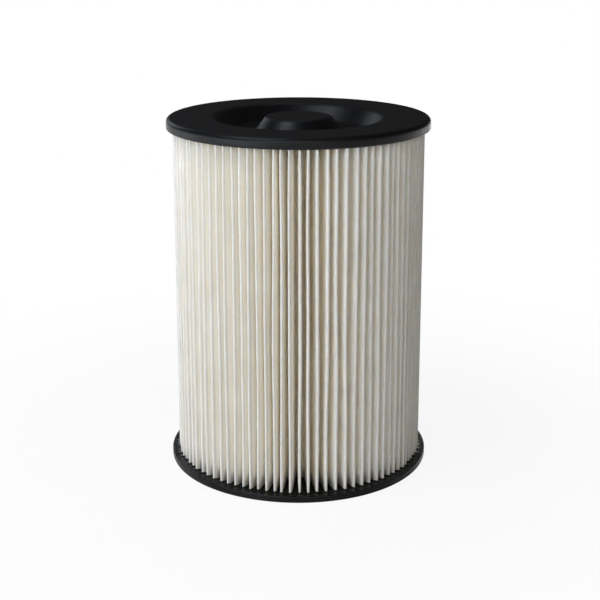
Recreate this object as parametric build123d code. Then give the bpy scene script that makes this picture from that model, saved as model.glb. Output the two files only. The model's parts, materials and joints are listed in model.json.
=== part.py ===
from build123d import *

import math
import os

# Cartridge filter for a shop vacuum, standing on its open end with the closed end up.
# Millimetres. The origin is the centre of the underside, and +Z is the cartridge's own axis.
# The radii are built up from the open end's bore outwards, each piece seated on the one inside it.

# Whole cartridge
overall_height = 215.0

# Open end ring, a soft moulding with a bore that slips over the cleaner's cage
bore_diameter = 96.0
ring_thickness = 4.0
ring_overhang = 5.0            # how far the ring stands out past the folds
ring_edge_bevel = 0.5
bore_lead_in = 1.0             # bevel at the mouth of the bore
ring_rib_count = 3             # fine ribs moulded round the ring's edge
ring_groove_depth = 0.4
ring_groove_width = 0.7
collar_wall = 3.0              # collar that stands up inside the support core
collar_height = 8.0
collar_lead_in = 0.8

# Support core, a moulded lattice tube that keeps the folds from falling in
core_clearance = 0.3           # between the core and the collar or the cap's plug
core_wall = 2.0
core_window_columns = 14
core_window_rows = 7
core_rib_width = 6.0
core_hoop_height = 8.0
core_end_band = 14.0

# Pleated paper, one sheet folded into a closed ring of deep folds
fold_clearance = 0.3           # between the core and the inner folds
pleat_count = 90
pleat_depth = 22.4
paper_thickness = 0.6
bend_radius = 0.5              # inside of each fold

# Closed end cap, a soft moulding with a round well and a boss in the middle of it
cap_overhang = 3.0             # how far the cap stands out past the folds
cap_rim_height = 6.5
cap_shoulder_radius = 2.5
cap_edge_bevel = 0.8
well_setback = 0.2             # the well's mouth lies this far inside the plug
well_wall_run = 7.8            # how far the well's wall slopes in on its way down
well_depth = 10.0
well_mouth_radius = 3.0
well_foot_radius = 2.0
well_floor_thickness = 4.0
plug_wall = 4.0                # wall of the plug at the well's floor
boss_top_diameter = 39.0
boss_slope_run = 7.4           # how far the boss spreads from its top to its foot
boss_edge_bevel = 1.0
boss_wall = 5.0

# Worked out
bore_r = bore_diameter / 2
collar_r = bore_r + collar_wall
core_inner_r = collar_r + core_clearance
core_outer_r = core_inner_r + core_wall
fold_inner_r = core_outer_r + fold_clearance
fold_outer_r = fold_inner_r + pleat_depth
ring_r = fold_outer_r + ring_overhang
cap_r = fold_outer_r + cap_overhang
cap_underside = overall_height - cap_rim_height
media_height = cap_underside - ring_thickness


def turned(outline):
    """The solid of revolution about Z of a closed outline of (radius, height) edges or a face."""
    return revolve(Plane.XZ * outline, Axis.Z)


def corners_at(face, points):
    """The corners of a flat outline that lie at the given (radius, height) points."""
    return [min(face.vertices(), key=lambda v: (v.X - r) ** 2 + (v.Y - z) ** 2) for r, z in points]


def open_end_ring():
    """Flat ring with ribs round its edge, a bore through it and a collar that centres the core."""
    rib_pitch = ring_thickness / ring_rib_count
    edge = []
    for i in range(1, ring_rib_count):
        height = i * rib_pitch
        edge.append((ring_r, height - ring_groove_width / 2))
        edge.append((ring_r - ring_groove_depth, height))
        edge.append((ring_r, height + ring_groove_width / 2))
    collar_top = ring_thickness + collar_height
    outline = [
        (bore_r, 0),
        (ring_r, 0),
        *edge,
        (ring_r, ring_thickness),
        (collar_r, ring_thickness),
        (collar_r, collar_top),
        (bore_r, collar_top),
    ]
    face = make_face(Polyline(*outline, close=True))
    face = chamfer(corners_at(face, [(ring_r, 0), (ring_r, ring_thickness)]), ring_edge_bevel)
    face = chamfer(corners_at(face, [(bore_r, 0)]), bore_lead_in)
    face = chamfer(corners_at(face, [(collar_r, collar_top)]), collar_lead_in)
    return turned(face)


def support_core():
    """Lattice tube from the ring to the cap: columns of windows between upright ribs and hoops."""
    tube = Cylinder(core_outer_r, media_height, align=(Align.CENTER, Align.CENTER, Align.MIN))
    tube -= Cylinder(core_inner_r, media_height, align=(Align.CENTER, Align.CENTER, Align.MIN))
    middle_r = (core_inner_r + core_outer_r) / 2
    window_width = 2 * math.pi * middle_r / core_window_columns - core_rib_width
    rows_height = media_height - 2 * core_end_band + core_hoop_height
    row_pitch = rows_height / core_window_rows
    window_height = row_pitch - core_hoop_height
    window = Box(core_wall + window_width, window_width, window_height)
    windows = []
    for row in range(core_window_rows):
        middle = core_end_band + window_height / 2 + row * row_pitch
        for place in PolarLocations(middle_r, core_window_columns):
            windows.append(Pos(0, 0, middle) * place * window)
    return Pos(0, 0, ring_thickness) * (tube - windows)


def polar(radius, angle):
    """The point at a radius and an angle about the axis."""
    return Vector(radius * math.cos(angle), radius * math.sin(angle))


def flats_round(centre, first, last, radius):
    """Corners of the flats round a bend, all at one radius from its centre.

    First and last are the way that the bend faces where it starts and ends, and three flats lie between.
    """
    middle = (first + last).normalized()
    facing = [first, (first + middle).normalized(), middle, (middle + last).normalized(), last]
    return [centre + (a + b) * (radius / (1 + a.dot(b))) for a, b in zip(facing, facing[1:])]


def wall_facing(valley, tip, turn):
    """The way that the outer face of a wall faces, between a bend in and a bend out.

    The wall passes one bend on each side, so it leans across the line between their centres.
    """
    along = tip - valley
    lean = math.degrees(math.asin((2 * bend_radius + paper_thickness) / along.length))
    return along.normalized().rotate(Axis.Z, turn * (90 + lean))


def fold_line(tip_bend, valley_bend):
    """One face of the folded sheet, seen from above: a bend out and a bend in for every pleat."""
    half_pitch = math.pi / pleat_count
    tip_r = fold_outer_r - paper_thickness - bend_radius
    valley_r = fold_inner_r + paper_thickness + bend_radius
    tips = [polar(tip_r, 2 * i * half_pitch) for i in range(pleat_count)]
    valleys = [polar(valley_r, (2 * i + 1) * half_pitch) for i in range(pleat_count)]
    points = []
    for i in range(pleat_count):
        rise = wall_facing(valleys[i - 1], tips[i], -1)
        fall = wall_facing(valleys[i], tips[i], 1)
        next_rise = wall_facing(valleys[i], tips[(i + 1) % pleat_count], -1)
        points += flats_round(tips[i], rise, fall, tip_bend)
        points += flats_round(valleys[i], -fall, -next_rise, valley_bend)
    return Polyline(*points, close=True)


def pleated_paper():
    """One sheet of even thickness, folded out and in all the way round and joined to itself."""
    outside_bend = bend_radius + paper_thickness
    dirty_side = fold_line(outside_bend, bend_radius)
    clean_side = fold_line(bend_radius, outside_bend)
    section = Face(dirty_side, [clean_side])
    return Pos(0, 0, ring_thickness) * extrude(section, media_height, dir=(0, 0, 1))


def closed_end_cap():
    """Rim over the folds, a plug inside the core, and a well with a boss level with the rim."""
    top = overall_height
    well_floor = top - well_depth
    plug_foot = well_floor - well_floor_thickness
    plug_r = core_inner_r - core_clearance
    mouth_r = plug_r - well_setback
    floor_r = mouth_r - well_wall_run
    boss_r = boss_top_diameter / 2
    boss_foot_r = boss_r + boss_slope_run
    boss_slope = boss_slope_run / well_depth
    hollow_top = top - well_floor_thickness
    hollow_top_r = boss_r + boss_slope * (top - hollow_top) - boss_wall
    hollow_foot_r = boss_r + boss_slope * (top - plug_foot) - boss_wall
    outline = [
        (0, top),
        (boss_r, top),
        (boss_foot_r, well_floor),
        (floor_r, well_floor),
        (mouth_r, top),
        (cap_r, top),
        (cap_r, cap_underside),
        (plug_r, cap_underside),
        (floor_r + plug_wall, plug_foot),
        (hollow_foot_r, plug_foot),
        (hollow_top_r, hollow_top),
        (0, hollow_top),
    ]
    face = make_face(Polyline(*outline, close=True))
    face = fillet(corners_at(face, [(cap_r, top)]), cap_shoulder_radius)
    face = chamfer(corners_at(face, [(cap_r, cap_underside)]), cap_edge_bevel)
    face = fillet(corners_at(face, [(mouth_r, top)]), well_mouth_radius)
    face = fillet(corners_at(face, [(floor_r, well_floor), (boss_foot_r, well_floor)]), well_foot_radius)
    face = chamfer(corners_at(face, [(boss_r, top)]), boss_edge_bevel)
    return turned(face)


pieces = {
    "open_end_ring": open_end_ring(),
    "support_core": support_core(),
    "pleated_paper": pleated_paper(),
    "closed_end_cap": closed_end_cap(),
}

os.makedirs("parts", exist_ok=True)
for name, piece in pieces.items():
    export_step(piece, f"parts/{name}.step")
    print(name, f"{piece.volume / 1000:.1f} cm3")
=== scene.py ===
# %% [markdown]
# A pleated cartridge filter for a shop vacuum stands on its open end. Its solids come packed from the CAD
# model, already at real size, so they serve as a fixed frame: every piece made here takes its place from them.

# %% Load the frame
import json
import math

import bmesh
import bpy
import numpy as np
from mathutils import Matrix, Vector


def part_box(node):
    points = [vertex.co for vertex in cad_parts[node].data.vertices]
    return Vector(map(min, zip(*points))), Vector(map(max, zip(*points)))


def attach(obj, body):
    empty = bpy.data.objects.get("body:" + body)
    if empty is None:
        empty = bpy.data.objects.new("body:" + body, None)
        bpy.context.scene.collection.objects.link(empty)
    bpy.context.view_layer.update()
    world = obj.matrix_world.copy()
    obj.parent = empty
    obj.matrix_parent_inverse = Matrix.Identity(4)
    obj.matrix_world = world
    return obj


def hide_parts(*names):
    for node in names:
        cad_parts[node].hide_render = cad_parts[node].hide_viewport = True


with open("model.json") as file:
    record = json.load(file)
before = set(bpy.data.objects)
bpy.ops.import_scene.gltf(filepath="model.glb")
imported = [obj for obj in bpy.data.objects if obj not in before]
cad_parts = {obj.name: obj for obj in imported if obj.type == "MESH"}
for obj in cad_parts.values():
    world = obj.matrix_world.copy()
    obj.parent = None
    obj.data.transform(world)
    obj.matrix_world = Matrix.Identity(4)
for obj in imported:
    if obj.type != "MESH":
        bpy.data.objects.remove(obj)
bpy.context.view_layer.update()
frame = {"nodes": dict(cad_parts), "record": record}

MM = 0.001
print("frame nodes:", ", ".join(sorted(frame["nodes"])))

# %% [markdown]
# The sizes that several pieces share could be typed in again, but then they could drift from the solids. So
# they are read off the frame once. All four solids stand round the same upright axis, so a node's highest X is
# its outside radius.

# %% Sizes from the frame
filter_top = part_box("closed_end_cap")[1][2]
cap_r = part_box("closed_end_cap")[1][0]
ring_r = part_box("open_end_ring")[1][0]
collar_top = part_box("open_end_ring")[1][2]
ring_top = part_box("pleated_paper")[0][2]
cap_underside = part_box("pleated_paper")[1][2]
fold_outer_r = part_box("pleated_paper")[1][0]
core_outer_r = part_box("support_core")[1][0]
bore_r = frame["record"]["mounts"][0]["dims"]["r_mm"] * MM
print(f"radii in mm: cap {cap_r / MM:.1f}, folds {fold_outer_r / MM:.1f}, ring {ring_r / MM:.1f}")

# %% [markdown]
# The photograph was taken with a long lens, a little above the cap, so both rims show as flat ellipses. A
# camera could be set by eye. This one was fitted to the outlines of the cap, the folds and the ring, which
# gives the eye's place in metres and the lens.

# %% Camera
photo_side_px = 600
focal_px = 1225.9
sensor_mm = 36.0
eye_aside = 0.0009
eye_distance = 0.7312
eye_height = 0.3293
look_down = math.radians(17.45)

camera_data = bpy.data.cameras.new("photo_camera")
camera_data.sensor_width = sensor_mm
camera_data.lens = focal_px / photo_side_px * sensor_mm
camera = bpy.data.objects.new("photo_camera", camera_data)
camera.location = (eye_aside, -eye_distance, eye_height)
camera.rotation_euler = (math.pi / 2 - look_down, 0, 0)
bpy.context.scene.collection.objects.link(camera)
bpy.context.scene.camera = camera
bpy.context.scene.view_settings.view_transform = "Standard"
bpy.context.scene.cycles.diffuse_bounces = 12    # light goes to and fro many times between the folds
print(f"lens {camera_data.lens:.1f} mm, looking down {math.degrees(look_down):.2f} degrees")

# %% [markdown]
# Colours are written as the hex values that a screen shows, and a shader wants linear light, so one function
# turns one into the other. One more function adds a node: values go on its sockets, and outputs of other nodes
# are linked. That is shorter than a function for each kind of node.

# %% Colour and node helpers
def linear(hex_colour):
    """An sRGB hex colour as linear red, green, blue and alpha: the curve is undone channel by channel."""
    srgb = np.array([int(hex_colour[i:i + 2], 16) for i in (1, 3, 5)]) / 255
    light = np.where(srgb <= 0.04045, srgb / 12.92, ((srgb + 0.055) / 1.055) ** 2.4)
    return (*light.tolist(), 1.0)


def add_node(tree, kind, inputs, **settings):
    """Adds a node. Inputs maps a socket's name or number to a value or to another node's output."""
    node = tree.nodes.new(kind)
    for name, value in settings.items():
        setattr(node, name, value)
    for socket, value in inputs.items():
        if isinstance(value, bpy.types.NodeSocket):
            tree.links.new(value, node.inputs[socket])
        else:
            node.inputs[socket].default_value = value
    return node


def new_material(name):
    """An empty material, and its node tree."""
    material = bpy.data.materials.new(name)
    material.use_nodes = True
    material.node_tree.nodes.clear()
    return material, material.node_tree


print("middle grey #808080 is", round(linear("#808080")[0], 3), "in linear light")

# %% [markdown]
# The photograph's ground is plain white, so the floor is a wide sheet of white studio paper. It is large enough
# that its far edge stays out of the picture.

# %% Floor
floor_half = 60.0
floor_mesh = bpy.data.meshes.new("studio_floor")
floor_corners = np.array([(-1, -1, 0), (1, -1, 0), (1, 1, 0), (-1, 1, 0)]) * floor_half
floor_mesh.from_pydata(floor_corners.tolist(), [], [(0, 1, 2, 3)])
floor = bpy.data.objects.new("studio_floor", floor_mesh)
bpy.context.scene.collection.objects.link(floor)
print(f"floor {2 * floor_half:.0f} m square")

# %% [markdown]
# More light would whiten the floor, but it would bleach the filter too. Instead, what the camera and the
# mirror-like rays see of the floor is mostly a white glow. Near the filter a small share of the paper's own
# shading shows through, and that is the soft shadow.

# %% Floor finish
shadow_share = 0.10
shadow_far = 0.40         # metres from the axis at which the floor is all glow

floor_material, tree = new_material("matt white studio paper")
coords = add_node(tree, "ShaderNodeTexCoord", {}).outputs["Object"]
distance = add_node(tree, "ShaderNodeVectorMath", {0: coords}, operation="LENGTH")
fade = add_node(tree, "ShaderNodeMapRange",
                {"Value": distance.outputs["Value"], "From Min": ring_r, "From Max": shadow_far,
                 "To Min": 1 - shadow_share, "To Max": 1.0}, interpolation_type="SMOOTHSTEP")
ray = add_node(tree, "ShaderNodeLightPath", {}).outputs
direct = add_node(tree, "ShaderNodeMath", {0: ray["Is Camera Ray"], 1: ray["Is Glossy Ray"]},
                  operation="MAXIMUM")
seen = add_node(tree, "ShaderNodeMath", {0: direct.outputs[0], 1: ray["Is Transmission Ray"]},
                operation="MAXIMUM")
share = add_node(tree, "ShaderNodeMath", {0: fade.outputs[0], 1: seen.outputs[0]}, operation="MULTIPLY")
matt = add_node(tree, "ShaderNodeBsdfDiffuse", {"Color": linear("#f4f4f2")})
glow = add_node(tree, "ShaderNodeEmission", {"Color": linear("#ffffff"), "Strength": 1.0})
blend = add_node(tree, "ShaderNodeMixShader",
                 {0: share.outputs[0], 1: matt.outputs[0], 2: glow.outputs[0]})
add_node(tree, "ShaderNodeOutputMaterial", {"Surface": blend.outputs[0]})
floor_mesh.materials.append(floor_material)
print("floor finish:", floor_material.name)

# %% [markdown]
# The room round the filter is a dim, even fill. It keeps the deepest folds from going quite black, and it is
# too weak to wash out the shade that gives the folds their form.

# %% Fill light
fill_level = 0.055
world = bpy.data.worlds.new("studio")
world.use_nodes = True
world.node_tree.nodes.clear()
room = add_node(world.node_tree, "ShaderNodeBackground",
                {"Color": linear("#f2f4f8"), "Strength": fill_level})
add_node(world.node_tree, "ShaderNodeOutputWorld", {"Surface": room.outputs[0]})
bpy.context.scene.world = world
print(f"fill level {fill_level}")

# %% [markdown]
# The light in the photograph comes from the left: the left folds are evenly bright, the right ones fall into
# shade, and the black cap gleams most on its left. One big lamp could give that, but soft boxes can be placed
# one by one. The key is high, in front and to the left. Two long low ones on the left give the rim its gleam,
# because a rim that is seen from above mirrors what is near the floor. Two in front open the folds. Those
# behind light the far side. They are very low, very high or well aside, so that the cap's flat top, which
# mirrors what lies straight behind it, stays dark.

# %% Soft boxes
def soft_box(name, around_deg, distance, height, width, tall, watts, tint):
    """A rectangular lamp that faces the filter's middle. Around counts from the camera's side, to the right."""
    lamp = bpy.data.lights.new(name, "AREA")
    lamp.shape = "RECTANGLE"
    lamp.size = width
    lamp.size_y = tall
    lamp.energy = watts
    lamp.color = linear(tint)[:3]
    stand = bpy.data.objects.new(name, lamp)
    around = math.radians(around_deg)
    drop = height - filter_top / 2
    stand.location = (math.sin(around) * distance, -math.cos(around) * distance, height)
    stand.rotation_euler = (math.pi / 2 - math.atan2(drop, distance), 0, around)
    stand.visible_camera = False
    bpy.context.scene.collection.objects.link(stand)


cool, neutral = "#ecf3ff", "#ffffff"
soft_box("key_box", -62, 0.6, 1.25, 0.5, 0.5, 5.8, cool)
soft_box("low_left_box", -48, 0.8, 0.15, 0.55, 0.26, 2.2, cool)
soft_box("low_side_box", -95, 0.8, 0.15, 0.55, 0.26, 0.9, cool)
soft_box("mid_left_box", -22, 1.0, 0.55, 0.4, 0.4, 2.8, cool)
soft_box("back_left_box", -145, 1.0, 0.5, 0.5, 0.35, 0.7, cool)
soft_box("front_box", 9, 1.2, 0.60, 0.45, 0.4, 2.3, neutral)
soft_box("back_top_box", -172, 0.8, 1.7, 0.7, 0.7, 1.1, neutral)
soft_box("low_back_box", 178, 0.9, 0.10, 0.9, 0.16, 2.2, neutral)
soft_box("low_right_box", 128, 0.9, 0.10, 0.5, 0.16, 0.3, neutral)
print("lamps:", ", ".join(sorted(light.name for light in bpy.data.lights)))

# %% [markdown]
# Every piece below is a grid of points that a formula gives. A row of the grid is always a closed loop, and the
# rows can close on themselves too. One function numbers the faces between neighbouring points, and one makes
# the object.

# %% Grid to mesh
def grid_faces(points, close_rows):
    """Four-sided faces of a grid points[row, column]: a point, the next in its row, and the two above them."""
    rows, columns = points.shape[:2]
    number = np.arange(rows * columns).reshape(rows, columns)
    above = np.roll(number, -1, axis=0)
    faces = np.stack([number, np.roll(number, -1, axis=1), np.roll(above, -1, axis=1), above], axis=-1)
    return (faces if close_rows else faces[:-1]).reshape(-1, 4)


def mesh_piece(name, points, faces, merge_mm=0.002, crease_deg=35.0):
    """An object from points and faces.

    Points that fall together, as at a pole, are merged, faces are turned outwards, and edges sharper than the
    crease angle stay sharp.
    """
    mesh = bpy.data.meshes.new(name)
    mesh.from_pydata(points.reshape(-1, 3), [], faces)
    work = bmesh.new()
    work.from_mesh(mesh)
    bmesh.ops.remove_doubles(work, verts=work.verts, dist=merge_mm * MM)
    bmesh.ops.recalc_face_normals(work, faces=work.faces)
    work.to_mesh(mesh)
    work.free()
    mesh.shade_smooth()
    mesh.set_sharp_from_angle(angle=math.radians(crease_deg))
    piece = bpy.data.objects.new(name, mesh)
    bpy.context.scene.collection.objects.link(piece)
    return piece


print("grid mesher ready")

# %% [markdown]
# A mesh is easier to trust when it is measured. This prints its triangles, its edges that don't have a face on
# both sides, and its box.

# %% Measuring a piece
def column_of(items, name, width=1):
    """One property of many mesh items as an array, fetched in one go."""
    values = np.empty(len(items) * width, dtype=np.float32 if width > 1 else np.int32)
    items.foreach_get(name, values)
    return values.reshape(-1, width)


def report(piece):
    """Prints a piece's triangles, its open edges and its box in millimetres."""
    mesh = piece.data
    triangles = (column_of(mesh.polygons, "loop_total") - 2).sum()
    sides = np.bincount(column_of(mesh.loops, "edge_index")[:, 0], minlength=len(mesh.edges))
    corners = column_of(mesh.vertices, "co", 3) / MM
    print(f"{piece.name}: {triangles} triangles, {(sides != 2).sum()} open edges,"
          f" {corners.min(0).round(1)} to {corners.max(0).round(1)} mm")


print("measure ready")

# %% [markdown]
# The paper is one long sheet, scored and folded by machine into deep pleats and glued end to end. One fold
# could be modelled and repeated by an Array, but real folds are never quite alike: they bunch up in places and
# wander a little on the way up. So each fold has an even place, a slow swing of the spacing round the ring,
# and a small shift of its own from a seeded draw.

# %% Places of the folds
pleat_count = 90
spacing_waves = 5
spacing_swing = 0.017        # radians
spacing_phase = math.radians(255)
first_fold = math.radians(1.3)
shift_deg = 0.20
wander_mm = 0.40
slow_waves, quick_waves = 0.8, 2.1    # from the foot to the top
quick_share = 0.4
paper_rows = 27
row_crowding = 0.6           # rows stand closer together near both ends

draw = np.random.default_rng(90)
row_share = np.linspace(0.0, 1.0, paper_rows)[:, None]
rise = row_share - row_crowding * np.sin(2 * np.pi * row_share) / (2 * np.pi)
even = np.arange(pleat_count) * 2 * np.pi / pleat_count
swung = even + spacing_swing * np.sin(spacing_waves * even + spacing_phase)
own_shift = np.radians(shift_deg) * draw.standard_normal(pleat_count)
wave_phase = draw.uniform(0, 2 * np.pi, (2, pleat_count))
wave_size = wander_mm * MM / fold_outer_r * draw.uniform(0.3, 1.0, (2, pleat_count))
wander = wave_size[0] * np.sin(2 * np.pi * slow_waves * rise + wave_phase[0])
wander = wander + quick_share * wave_size[1] * np.sin(2 * np.pi * quick_waves * rise + wave_phase[1])
tip_angle = first_fold + swung + own_shift + wander
lead = np.roll(tip_angle, -1, axis=1)
lead[:, -1] += 2 * np.pi
valley_angle = (tip_angle + lead) / 2
pitch_deg = np.degrees(np.diff(tip_angle[0]))
print(f"{pleat_count} folds, pitch {pitch_deg.min():.2f} to {pitch_deg.max():.2f} degrees")

# %% [markdown]
# Seen from above, the sheet goes round a small bend at each tip and each valley. The mouldings nip the bends
# tighter at both ends, and the folds splay a little towards the open end. Points in plan are complex numbers,
# because turning one is then a single product.

# %% Bends of the folds
paper_thickness = 0.6 * MM
paper_bed = 0.8 * MM          # how far the paper's ends are sunk in the black mouldings
free_tip_bend = 0.54 * MM     # to the middle of the sheet
nipped_tip_bend = 0.34 * MM
nip_height = 8.0 * MM
nip_sharpness = 1.5
valley_bend = 0.80 * MM
fold_clearance = 0.3 * MM     # between the core and the valleys
flare_foot, flare_top = 0.6 * MM, -0.9 * MM
tip_reach = 0.40 * MM         # how far tips stand in or out of line
reach_least, reach_most = -1.2 * tip_reach, 0.8 * tip_reach
front = -1j                   # angle nought faces the camera

paper_z = ring_top - paper_bed + (cap_underside - ring_top + 2 * paper_bed) * rise
from_end = np.minimum(paper_z - paper_z[0], paper_z[-1] - paper_z)
nip = np.exp(-(from_end / nip_height) ** nip_sharpness)
tip_bend = free_tip_bend - (free_tip_bend - nipped_tip_bend) * nip
reach = np.clip(tip_reach * draw.standard_normal(pleat_count), reach_least, reach_most)
flare = flare_foot + (flare_top - flare_foot) * rise
tip_r = fold_outer_r + flare + reach - tip_bend - paper_thickness / 2
valley_r = core_outer_r + fold_clearance + paper_thickness / 2 + valley_bend
tips = front * tip_r * np.exp(1j * tip_angle)
valleys = front * valley_r * np.exp(1j * valley_angle)
print(f"fold depth {(fold_outer_r - core_outer_r - fold_clearance) / MM:.1f} mm")

# %% [markdown]
# Between the bends the sheet runs nearly straight. A wall is the line that passes a tip's bend on one side and
# a valley's on the other, so it leans across the line between their centres. Each wall bows a little, in or
# out, by a draw of its own.

# %% Walls of the folds
wall_bow = 0.28 * MM


def wall_facing(valley, tip, turn):
    """Which way a wall's outer face looks: the line between the centres, turned a right angle and its lean."""
    along = tip - valley
    lean = np.arcsin((tip_bend + valley_bend) / np.abs(along))
    return along / np.abs(along) * np.exp(1j * turn * (np.pi / 2 + lean))


rising = wall_facing(np.roll(valleys, 1, axis=1), tips, -1)
falling = wall_facing(valleys, tips, 1)
next_rising = np.roll(rising, -1, axis=1)
fall_bow = wall_bow * draw.standard_normal(pleat_count)
rise_bow = wall_bow * draw.standard_normal(pleat_count)
print(f"{2 * pleat_count} walls, bowed by up to {np.abs([fall_bow, rise_bow]).max() / MM:.1f} mm")

# %% [markdown]
# A single face could be thickened with Solidify. Here both faces of the sheet are worked out, half a thickness
# to each side of its middle, so that the inside of every bend stays truly round.

# %% Faces of the sheet
tip_steps, wall_steps, valley_steps = 8, 3, 5


def round_bend(centre, start, sweep, radius, steps):
    """Points round a bend: its centre plus a radius that turns from its start through the sweep."""
    share = np.linspace(0, 1, steps)
    return centre[..., None] + (start * radius)[..., None] * np.exp(1j * sweep[..., None] * share)


def straight_wall(start, end, facing, bow):
    """Points between two bends, without the two ends, bowed outwards by a half wave along the wall."""
    share = np.linspace(0, 1, wall_steps + 2)[1:-1]
    line = start[..., None] + (end - start)[..., None] * share
    return line + (facing * bow)[..., None] * np.sin(np.pi * share)


def sheet_face(side):
    """One face of the sheet in plan: for each pleat a bend out, a wall in, a bend in and a wall out."""
    offset = side * paper_thickness / 2
    tip_sweep = np.mod(np.angle(falling / rising), 2 * np.pi)
    valley_sweep = -np.mod(np.angle(falling / next_rising), 2 * np.pi)
    tip_arc = round_bend(tips, rising, tip_sweep, tip_bend + offset, tip_steps)
    valley_arc = round_bend(valleys, -falling, valley_sweep, valley_bend - offset, valley_steps)
    next_tip = np.roll(tip_arc[..., 0], -1, axis=1)
    wall_in = straight_wall(tip_arc[..., -1], valley_arc[..., 0], falling, fall_bow)
    wall_out = straight_wall(valley_arc[..., -1], next_tip, next_rising, rise_bow)
    plan = np.concatenate([tip_arc, wall_in, valley_arc, wall_out], axis=-1)
    return plan.reshape(paper_rows, -1)


dirty_face, clean_face = sheet_face(1), sheet_face(-1)

# %% [markdown]
# The two faces are joined along the top and the foot into one closed skin: the grid runs up the dirty face and
# down the clean one.

# %% Pleated paper
def in_space(plan, height):
    """Points in plan at a height, as x, y and z."""
    return np.stack([plan.real, plan.imag, np.broadcast_to(height, plan.shape)], axis=-1)


paper_grid = np.concatenate([in_space(dirty_face, paper_z), in_space(clean_face, paper_z)[::-1]])
paper = mesh_piece("filter_pleats", paper_grid, grid_faces(paper_grid, True), crease_deg=60)
report(paper)

# %% [markdown]
# Filter paper is matted cellulose stiffened with resin: dull, faintly cloudy and a little warm. Fibres are a
# few hundredths of a millimetre thick, far too fine for the picture, so they are drawn as clouds and flecks
# that are coarse enough to show. The tips, which catch the most light, are painted a little greyer than the
# walls, a painted shade, and the walls are painted darker near the foot of the folds, a painted shade beside
# the black ring. Light that goes to and fro in a fold comes out warmer, and some goes into the sheet and comes
# out close by, which is what the subsurface part gives.

# %% Filter paper
def filter_paper():
    """Off-white paper: creamy walls, painted shade at their foot and on the tips, clouds, fibres in relief."""
    material, tree = new_material("resin treated filter paper")
    coords = add_node(tree, "ShaderNodeTexCoord", {}).outputs["Object"]
    cloud_mm, fibre_mm, fibre_relief_mm = 14.0, 0.9, 0.06
    # painted shade: the tips, which catch the most light, are painted greyer from this far in
    tip_shade_starts_mm, tip_shade_full_mm = 2.2, 0.88    # in from the tips
    # painted shade: the walls are painted darker up to this height above the ring
    foot_shade_mm = 9.0                           # up from the ring
    clouds = add_node(tree, "ShaderNodeTexNoise",
                      {"Vector": coords, "Scale": 1 / (cloud_mm * MM), "Detail": 4.0})
    fibres = add_node(tree, "ShaderNodeTexNoise",
                      {"Vector": coords, "Scale": 1 / (fibre_mm * MM), "Detail": 6.0, "Roughness": 0.65})
    mixed = add_node(tree, "ShaderNodeMath", {0: clouds.outputs[0], 1: fibres.outputs[0]}, operation="ADD")
    tone = add_node(tree, "ShaderNodeMapRange",
                    {"Value": mixed.outputs[0], "From Min": 0.7, "From Max": 1.3})
    clean = add_node(tree, "ShaderNodeMix",
                     {0: tone.outputs[0], 6: linear("#f3ede1"), 7: linear("#fbf7ee")}, data_type="RGBA")
    height = add_node(tree, "ShaderNodeSeparateXYZ", {0: coords}).outputs["Z"]
    # painted shade: the walls darken towards the foot of the folds, next to the black ring
    foot_shade = add_node(tree, "ShaderNodeMapRange",
                      {"Value": height, "From Min": ring_top, "From Max": ring_top + foot_shade_mm * MM,
                       "To Min": 1.0, "To Max": 0.0}, interpolation_type="SMOOTHSTEP")
    wall = add_node(tree, "ShaderNodeMix",
                    {0: foot_shade.outputs[0], 6: clean.outputs[2], 7: linear("#a39e95")}, data_type="RGBA")
    tip = add_node(tree, "ShaderNodeMix",
                   {0: tone.outputs[0], 6: linear("#dcd7cd"), 7: linear("#e5e1d8")}, data_type="RGBA")
    plan = add_node(tree, "ShaderNodeVectorMath", {0: coords, 1: (1, 1, 0)}, operation="MULTIPLY")
    radius = add_node(tree, "ShaderNodeVectorMath", {0: plan.outputs[0]}, operation="LENGTH")
    # painted shade: the tips are greyer than the walls, since they catch the most light
    tip_shade = add_node(tree, "ShaderNodeMapRange",
                      {"Value": radius.outputs["Value"], "From Min": fold_outer_r - tip_shade_starts_mm * MM,
                       "From Max": fold_outer_r - tip_shade_full_mm * MM})
    colour = add_node(tree, "ShaderNodeMix",
                      {0: tip_shade.outputs[0], 6: wall.outputs[2], 7: tip.outputs[2]}, data_type="RGBA")
    relief = add_node(tree, "ShaderNodeBump", {"Height": fibres.outputs[0], "Strength": 0.35,
                                               "Distance": fibre_relief_mm * MM})
    shader = add_node(tree, "ShaderNodeBsdfPrincipled",
                      {"Base Color": colour.outputs[2], "Roughness": 0.92, "Specular IOR Level": 0.2,
                       "Subsurface Weight": 1.0, "Subsurface Radius": (1.0, 0.9, 0.75),
                       "Subsurface Scale": 0.5 * MM, "Normal": relief.outputs[0]})
    add_node(tree, "ShaderNodeOutputMaterial", {"Surface": shader.outputs[0]})
    return material


paper.data.materials.append(filter_paper())
print("paper finish:", paper.data.materials[0].name)

# %% [markdown]
# The cap and the ring are turned shapes, so each is a section carried round the axis. A Bevel could round the
# edges, but the mould gives each corner a radius of its own. So a section is drawn by its corners, each with
# its radius, and the long straights are divided so that the surface can waver a little, as a soft casting does.

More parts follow.
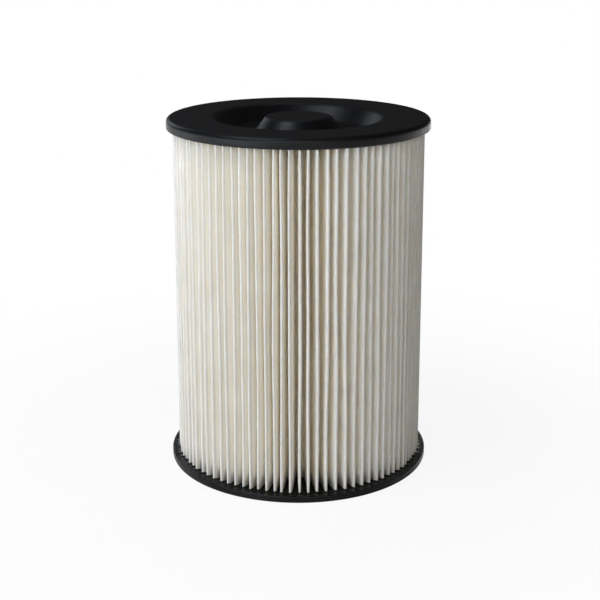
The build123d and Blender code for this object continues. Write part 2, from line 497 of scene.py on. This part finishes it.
# %% Section with rounded corners
def rounded_section(corners, closed, step, arc_steps=7):
    """Points along a section of (radius, height, rounding) corners: arcs at the corners, even steps between.

    An arc touches its two straights at its rounding times the tangent of half the turn from the corner.
    """
    radius, height, roundings = np.transpose(corners)
    at = radius + 1j * height
    arriving, leaving = at - np.roll(at, 1), np.roll(at, -1) - at
    arriving = arriving / np.abs(arriving)
    turns = np.angle(leaving / np.abs(leaving) / arriving)
    runs = []
    for corner, heading, turn, rounding in zip(at, arriving, turns, roundings):
        touch = corner - heading * rounding * math.tan(abs(turn) / 2)
        centre = touch + heading * 1j * rounding * np.sign(turn)
        sweep = np.linspace(0, 1, arc_steps if rounding else 1)
        runs.append(centre + (touch - centre) * np.exp(1j * turn * sweep))
    outline = np.concatenate(runs + ([runs[0][:1]] if closed else []))
    pieces = [np.linspace(a, b, max(1, round(abs(b - a) / step)), endpoint=False)
              for a, b in zip(outline[:-1], outline[1:])]
    return np.concatenate(pieces if closed else pieces + [outline[-1:]])


def turned_points(section, segments):
    """A section of radius and height carried round the axis, one row for each point of the section."""
    angles = np.linspace(0, 2 * np.pi, segments, endpoint=False)
    plan = front * np.exp(1j * angles)[None, :] * section.real[:, None]
    return in_space(plan, section.imag[:, None])


print("section helper ready")

# %% [markdown]
# The closed end is one soft black moulding, cast round the top of the paper. A broad flat rim runs round a
# well, and a cone-sided boss stands in the middle, level with the rim. Underneath, a plug fits into the core.
# The section runs from the hollow under the boss, out round the rim and back in over the top.

# %% Section of the closed end cap
collar_r = bore_r + 3.0 * MM    # the ring's collar fits the core as the cap's plug does
plug_r = collar_r
mouth_r = plug_r - 0.2 * MM
floor_r = mouth_r - 7.8 * MM
plug_foot_r = floor_r + 4.0 * MM
boss_r = 19.5 * MM
boss_foot_r = boss_r + 7.4 * MM
hollow_top_r = boss_r - 2.0 * MM
hollow_foot_r = boss_r + 5.4 * MM
well_floor = filter_top - 10.0 * MM
floor_thickness = 4.0 * MM
plug_foot = well_floor - floor_thickness
hollow_top = filter_top - floor_thickness
cap_step = 2.0 * MM

cap_section = rounded_section([
    (0, hollow_top, 0),
    (hollow_top_r, hollow_top, 1.5 * MM),
    (hollow_foot_r, plug_foot, 1.0 * MM),
    (plug_foot_r, plug_foot, 1.0 * MM),
    (plug_r, cap_underside, 0),
    (cap_r, cap_underside, 1.0 * MM),
    (cap_r, filter_top, 2.6 * MM),
    (mouth_r, filter_top, 4.6 * MM),
    (floor_r, well_floor, 3.6 * MM),
    (boss_foot_r, well_floor, 4.0 * MM),
    (boss_r, filter_top, 3.6 * MM),
    (0, filter_top, 0),
], False, cap_step)
print(f"cap section has {len(cap_section)} points")

# %% [markdown]
# A soft casting is never quite round once it is out of its mould, so the turned cap wavers by about a tenth of
# a millimetre. That is hardly a shape, but it keeps the gleam on the rim from being perfectly even.

# %% Closed end cap
cap_segments = 288
waver = 0.06 * MM
swells = ((2, 0.6, 1.0), (5, 2.1, 0.6), (9, 4.0, 0.45))    # waves round the cap, phase and share


def soft_waver(points):
    """Moves points in and out by a few slow waves round the axis that fade towards the middle."""
    radius = np.hypot(points[..., 0], points[..., 1])
    angle = np.arctan2(points[..., 1], points[..., 0])
    swell = sum(size * np.sin(waves * angle + phase) for waves, phase, size in swells)
    outward = swell * waver * (radius / cap_r) ** 2 / np.maximum(radius, MM)
    moved = points.copy()
    moved[..., :2] *= 1 + outward[..., None]
    return moved


cap_grid = soft_waver(turned_points(cap_section, cap_segments))
cap = mesh_piece("end_cap_moulding", cap_grid, grid_faces(cap_grid, False))
report(cap)

# %% [markdown]
# The open end is a thinner moulding of the same stuff: a flat ring with three fine ribs round its edge and a
# collar inside. Its upper face is divided finely near the edge, where the next step shapes it, and coarsely
# elsewhere, which keeps the mesh light.

# %% Section of the open end ring
rib_count = 3
groove_depth = 0.4 * MM
groove_half = 0.35 * MM
groove_rounding = 0.1 * MM
fine_from, fine_to, fine_step = 1.0 * MM, 9.0 * MM, 0.5 * MM    # in from the ring's edge
coarse_step = 6.0 * MM

grooves = [(ring_r - depth, ring_top * rib / rib_count + shift, groove_rounding)
           for rib in range(1, rib_count)
           for depth, shift in ((0, -groove_half), (groove_depth, 0), (0, groove_half))]
fine_flat = [(r, ring_top, 0) for r in np.arange(ring_r - fine_from, ring_r - fine_to, -fine_step)]
ring_section = rounded_section([
    (bore_r, 0, 1.0 * MM),
    (ring_r, 0, 0.35 * MM),
    *grooves,
    (ring_r, ring_top, 0.5 * MM),
    *fine_flat,
    (collar_r, ring_top, 0.4 * MM),
    (collar_r, collar_top, 0.7 * MM),
    (bore_r, collar_top, 0.4 * MM),
], True, coarse_step, arc_steps=4)
print(f"ring section has {len(ring_section)} points")

# %% [markdown]
# Where the paper dips into the ring, the casting climbs each fold's tip a little as it sets, so there is a
# small mound outside every fold. Bump could hint at them, but they stand up from the flat, so they are in the
# mesh.

# %% Open end ring
ring_segments = 1080
mound_height = 0.55 * MM
mound_width = 0.9 * MM
lift_from = 0.7 * ring_top    # only the top of the ring is lifted


def climb(points):
    """Lifts the ring's upper face by a bell about the nearest fold tip, fading with the distance from it."""
    plan = points[..., 0] + 1j * points[..., 1]
    foot_tips = tips[0][np.argsort(np.angle(tips[0]))]
    place = np.searchsorted(np.angle(foot_tips), np.angle(plan))
    nearest = np.minimum(*[np.abs(plan - foot_tips[(place + k) % pleat_count]) for k in (-1, 0)])
    gap = np.maximum(nearest - nipped_tip_bend - paper_thickness / 2, 0)
    bell = mound_height * np.exp(-(gap / mound_width) ** 2)
    upper = np.clip((points[..., 2] - lift_from) / (ring_top - lift_from), 0, 1)
    outside = np.clip((np.abs(plan) - core_outer_r) / MM, 0, 1)
    lifted = points.copy()
    lifted[..., 2] += bell * upper * outside
    return lifted


ring_grid = climb(turned_points(ring_section, ring_segments))
ring = mesh_piece("open_end_moulding", ring_grid, grid_faces(ring_grid, True))
report(ring)

# %% [markdown]
# Such soft ends are cast from black plastisol, a vinyl that sets rubbery. It is almost black, with a dull
# satin gleam that is a little patchy. The mould leaves a fine grain on the cap, and the ring, which is poured,
# sets smoother. The grain is drawn coarser than the real one, so that it shows.

# %% Black plastisol
def black_plastisol(name, smoothest, dullest):
    """Near-black vinyl: slow clouds in tone and in gloss, smoothest to dullest, and a fine grain in relief."""
    material, tree = new_material(name)
    coords = add_node(tree, "ShaderNodeTexCoord", {}).outputs["Object"]
    cloud_mm, grain_mm, grain_relief_mm = 9.0, 0.7, 0.05
    clouds = add_node(tree, "ShaderNodeTexNoise",
                      {"Vector": coords, "Scale": 1 / (cloud_mm * MM), "Detail": 5.0})
    grain = add_node(tree, "ShaderNodeTexNoise",
                     {"Vector": coords, "Scale": 1 / (grain_mm * MM), "Detail": 3.0})
    tone = add_node(tree, "ShaderNodeMapRange",
                    {"Value": clouds.outputs[0], "From Min": 0.3, "From Max": 0.7})
    colour = add_node(tree, "ShaderNodeMix",
                      {0: tone.outputs[0], 6: linear("#0c0c0d"), 7: linear("#0f0f10")}, data_type="RGBA")
    gloss = add_node(tree, "ShaderNodeMapRange",
                     {"Value": clouds.outputs[0], "From Min": 0.3, "From Max": 0.7,
                      "To Min": smoothest, "To Max": dullest})
    relief = add_node(tree, "ShaderNodeBump", {"Height": grain.outputs[0], "Strength": 0.3,
                                               "Distance": grain_relief_mm * MM})
    shader = add_node(tree, "ShaderNodeBsdfPrincipled",
                      {"Base Color": colour.outputs[2], "Roughness": gloss.outputs[0],
                       "Specular IOR Level": 0.20, "Normal": relief.outputs[0]})
    add_node(tree, "ShaderNodeOutputMaterial", {"Surface": shader.outputs[0]})
    return material


cap.data.materials.append(black_plastisol("moulded black plastisol", 0.37, 0.44))
ring.data.materials.append(black_plastisol("poured black plastisol", 0.20, 0.28))
print("finishes of the ends:", cap.data.materials[0].name, "and", ring.data.materials[0].name)

# %% [markdown]
# Inside the folds stands a moulded lattice tube that keeps them from being sucked flat. A tube could be cut
# with Booleans, but they tend to leave long thin faces. So the tube is unrolled into equal cells, each a
# picture frame round a window. A cell's outline and its window's have the same number of points, so rings of
# faces join them.

# %% Outlines of a core cell
core_inner_r = core_outer_r - 2.0 * MM
window_columns, window_rows = 14, 7
core_rib = 6.0 * MM
core_hoop = 8.0 * MM
core_band = 14.0 * MM
window_corner = 3.0 * MM
edge_bevel = 0.4 * MM
corner_steps, run_steps = 2, 4    # points round half a corner and along a side

middle_r = (core_outer_r + core_inner_r) / 2
cell_width = 2 * np.pi / window_columns * middle_r
cell_height = (cap_underside - ring_top - 2 * core_band + core_hoop) / window_rows
window_width, window_height = cell_width - core_rib, cell_height - core_hoop


def frame_outline(width, height, corner):
    """A rectangle with rounded corners, from the middle of one corner round to it again, as complex numbers."""
    swing = np.linspace(0, np.pi / 4, corner_steps + 1)[:-1]
    reach = complex(width / 2 - corner, height / 2 - corner)
    spans = []
    for turn in (1, 1j, -1, -1j):
        flat = reach if turn in (1, -1) else complex(reach.imag, reach.real)
        start = flat + corner * np.exp(1j * (np.pi / 4 + swing))
        run = np.linspace(flat + 1j * corner, -flat.conjugate() + 1j * corner, run_steps + 1)[:-1]
        end = -flat.conjugate() + corner * np.exp(1j * (np.pi / 2 + swing))
        spans.append(np.concatenate([start, run, end]) * turn)
    return np.concatenate(spans)


cell = frame_outline(cell_width, cell_height, 0)
window = frame_outline(window_width, window_height, window_corner)
window_wide = frame_outline(window_width + 2 * edge_bevel, window_height + 2 * edge_bevel,
                            window_corner + edge_bevel)
print(f"core window {window_width / MM:.1f} by {window_height / MM:.1f} mm")

# %% [markdown]
# A cell goes from its outline on the outside of the tube, in through the bevelled window and back to its
# outline on the inside. The cells are rolled up, one beside and above another, and a plain band closes each end
# of the tube. All of them go into one mesh, and points that fall together are merged.

# %% Support core
cell_path = [(cell, core_outer_r), (window_wide, core_outer_r), (window, core_outer_r - edge_bevel),
             (window, core_inner_r + edge_bevel), (window_wide, core_inner_r), (cell, core_inner_r)]
flat_cell = np.array([outline for outline, radius in cell_path])
cell_radius = np.array([radius for outline, radius in cell_path])[:, None]
band_along = np.arange(window_columns * run_steps) * cell_width / run_steps - cell_width / 2
cells_low = ring_top + core_band - core_hoop / 2
cells_top = cells_low + window_rows * cell_height


def rolled(flat, radius):
    """Points of the unrolled tube, rolled up: the distance along becomes an angle at the middle radius."""
    plan = front * radius * np.exp(1j * flat.real / middle_r)
    return in_space(plan, flat.imag)


def end_band(edge, end):
    """A plain band from the cells' edge to the tube's end: out, over the end and back in."""
    path = [(edge, core_outer_r), (end, core_outer_r), (end, core_inner_r), (edge, core_inner_r)]
    return np.array([rolled(band_along + 1j * height, radius) for height, radius in path])


cell_places = [complex(column * cell_width, cells_low + (row + 0.5) * cell_height)
               for row in range(window_rows) for column in range(window_columns)]
core_grids = [rolled(flat_cell + place, cell_radius) for place in cell_places]
core_grids += [end_band(cells_low, ring_top)[::-1], end_band(cells_top, cap_underside)]
first_point = np.cumsum([0] + [grid[..., 0].size for grid in core_grids[:-1]])
core_points = np.concatenate([grid.reshape(-1, 3) for grid in core_grids])
core_faces = np.concatenate([grid_faces(grid, False) + first
                             for grid, first in zip(core_grids, first_point)])
core = mesh_piece("core_lattice", core_points, core_faces, merge_mm=0.02)
report(core)

# %% [markdown]
# The core is moulded polypropylene: dark grey and half matt, with the faint flow clouds of a cheap moulding.
# It shows only through the open end.

# %% Dark polypropylene
def dark_polypropylene():
    """Dark grey plastic with slow flow clouds in its tone and its gloss."""
    material, tree = new_material("moulded dark polypropylene")
    coords = add_node(tree, "ShaderNodeTexCoord", {}).outputs["Object"]
    flow_mm = 6.0
    flow = add_node(tree, "ShaderNodeTexNoise",
                    {"Vector": coords, "Scale": 1 / (flow_mm * MM), "Detail": 3.0})
    tone = add_node(tree, "ShaderNodeMapRange",
                    {"Value": flow.outputs[0], "From Min": 0.3, "From Max": 0.7})
    colour = add_node(tree, "ShaderNodeMix",
                      {0: tone.outputs[0], 6: linear("#2b2b2e"), 7: linear("#38383b")}, data_type="RGBA")
    gloss = add_node(tree, "ShaderNodeMapRange",
                     {"Value": flow.outputs[0], "From Min": 0.3, "From Max": 0.7,
                      "To Min": 0.42, "To Max": 0.55})
    shader = add_node(tree, "ShaderNodeBsdfPrincipled",
                      {"Base Color": colour.outputs[2], "Roughness": gloss.outputs[0],
                       "Specular IOR Level": 0.4})
    add_node(tree, "ShaderNodeOutputMaterial", {"Surface": shader.outputs[0]})
    return material


core.data.materials.append(dark_polypropylene())
print("core finish:", core.data.materials[0].name)

# %% [markdown]
# Nothing on the filter moves, so every piece rides on the one body. Each stands for its CAD solid, which is
# hidden.

# %% Pieces and their solids
for piece, node, finish in ((cap, "closed_end_cap", "cap_rubber"),
                            (ring, "open_end_ring", "ring_rubber"),
                            (paper, "pleated_paper", "filter_paper"),
                            (core, "support_core", "core_plastic")):
    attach(piece, "root")
    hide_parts(node)
